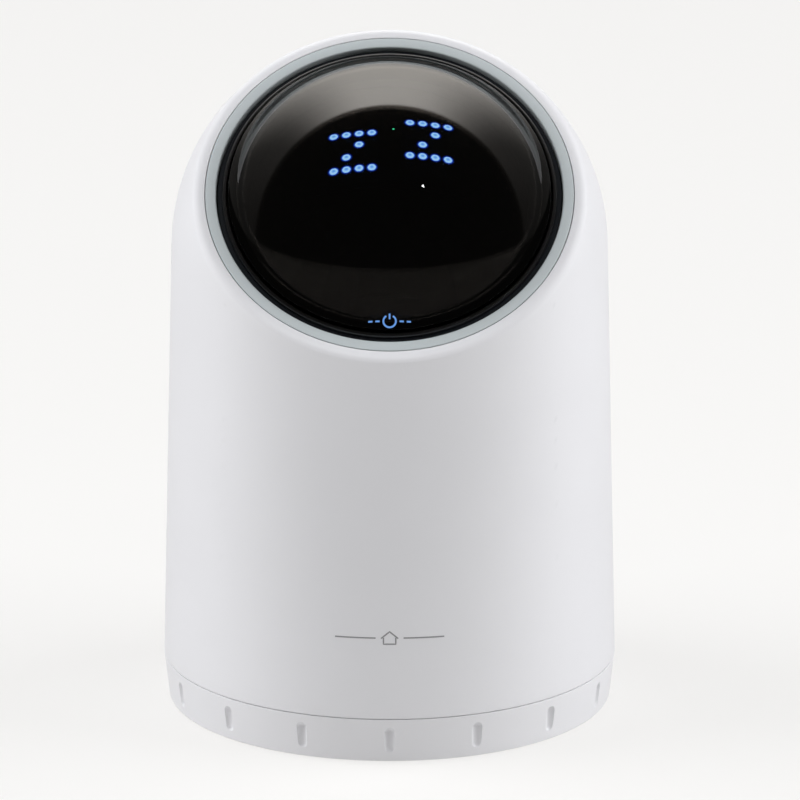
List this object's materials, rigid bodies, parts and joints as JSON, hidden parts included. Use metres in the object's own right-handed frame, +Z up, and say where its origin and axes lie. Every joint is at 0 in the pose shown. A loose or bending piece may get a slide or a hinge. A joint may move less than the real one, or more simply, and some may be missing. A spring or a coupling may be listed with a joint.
{
  "type": "smart home hub",
  "caption": "Tabletop smart home hub: white tapered body, slanted round smoked visor with lit dots, twist-off notched base, rear ports.",
  "frame": {"origin": "centre of the round base on the surface that it stands on", "axes": "+Z up along the body's axis, -Y to the front, the way the visor faces, +X to the viewer's right"},
  "size_m": [0.112, 0.112, 0.1643],
  "materials": {
    "white_plastic": "satin white moulding with a very fine grain",
    "bezel_grey": "satin light grey moulding",
    "seal_black": "matt black",
    "smoked_dome": "dark smoked acrylic, mirror gloss",
    "frame_plastic": "dark grey moulding",
    "carrier_black": "matt black",
    "circuit_board": "green solder resist",
    "led_circuit": "dark blue-black solder resist",
    "steel": "bright",
    "aluminium": "satin",
    "connector_black": "black moulding",
    "magnet": "dull grey",
    "cone_paper": "pressed paper, dark grey",
    "surround_rubber": "matt black",
    "battery_foil": "silver film",
    "amber_film": "amber polyimide film",
    "foot_rubber": "matt dark grey",
    "screen_cloth": "woven acoustic cloth",
    "led_blue": "lit pale blue",
    "led_green": "lit green"
  },
  "bodies": {
    "root": {"body_shell": "white_plastic", "visor_bezel": "bezel_grey", "rear_port_panel": "bezel_grey", "visor_gasket": "seal_black", "visor_dome": "smoked_dome", "visor_retainer": "frame_plastic", "lower_frame": "frame_plastic", "speaker_box": "frame_plastic", "led_carrier": "carrier_black", "led_board": "led_circuit", "touch_sensor": "amber_film", "display_ribbon": "amber_film", "main_board": "circuit_board", "button_board": "circuit_board", "antenna_left": "circuit_board", "antenna_right": "circuit_board", "processor_shield": "steel", "radio_shield": "steel", "battery_strap": "steel", "usb_c_inlet": "steel", "speaker_basket": "steel", "pair_switch": "steel", "reset_switch": "steel", "heat_sink": "aluminium", "ribbon_connector": "connector_black", "ethernet_jack": "connector_black", "speaker_plug": "connector_black", "speaker_cable": "seal_black", "speaker_magnet": "magnet", "speaker_surround": "surround_rubber", "backup_battery": "battery_foil", "rear_dust_screen": "screen_cloth", "retainer_screw_1": "steel", "frame_screw_1": "steel", "board_screw_1": "steel", "retainer_screw_2": "steel", "frame_screw_2": "steel", "board_screw_2": "steel", "retainer_screw_3": "steel", "frame_screw_3": "steel", "board_screw_3": "steel", "panel_screw_1": "steel", "panel_screw_2": "steel", "speaker_screw_1": "steel", "speaker_screw_2": "steel", "speaker_screw_3": "steel", "speaker_screw_4": "steel"},
    "base": {"base_cup": "white_plastic", "foot_ring": "foot_rubber"},
    "pair_button": {"pair_button": "white_plastic", "pair_plunger": "connector_black"},
    "reset_button": {"reset_button": "white_plastic", "reset_plunger": "connector_black"},
    "speaker_cone": {"speaker_cone": "cone_paper"}
  },
  "joints": [
    {"name": "base_twist", "type": "hinge", "parent": "root", "child": "base", "pos_m": [0, 0, 0.006], "axis": [0, 0, 1], "range_deg": [0, 15]},
    {"name": "pair_press", "type": "slide", "parent": "root", "child": "pair_button", "axis": [0, -1, 0], "range_m": [0, 0.0008], "stiffness_N_per_m": 600},
    {"name": "reset_press", "type": "slide", "parent": "root", "child": "reset_button", "axis": [0, -1, 0], "range_m": [0, 0.0005], "stiffness_N_per_m": 600},
    {"name": "cone_travel", "type": "slide", "parent": "root", "child": "speaker_cone", "axis": [0, 0, 1], "range_m": [-0.001, 0.001], "stiffness_N_per_m": 1000}
  ]
}
